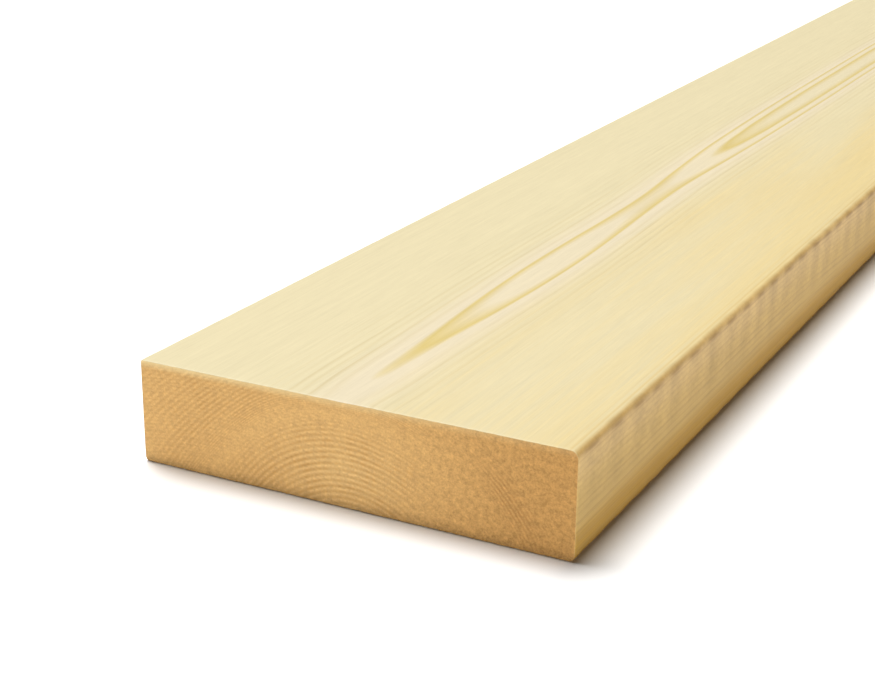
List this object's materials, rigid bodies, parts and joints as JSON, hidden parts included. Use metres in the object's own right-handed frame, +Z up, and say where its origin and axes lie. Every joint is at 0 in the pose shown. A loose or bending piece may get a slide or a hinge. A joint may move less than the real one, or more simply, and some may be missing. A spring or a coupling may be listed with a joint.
{
  "type": "timber plank",
  "caption": "Planed softwood plank of rectangular section with eased long arrises and square cross-cut ends.",
  "frame": {"origin": "middle of the underside, at the plank's half length and half width", "axes": "+Z up through the 45 mm thickness, +Y along the length, +X across the 195 mm width"},
  "size_m": [0.195, 1.8, 0.045],
  "materials": {
    "planed_softwood": "matte"
  },
  "bodies": {
    "root": {"plank": "planed_softwood"}
  },
  "joints": []
}
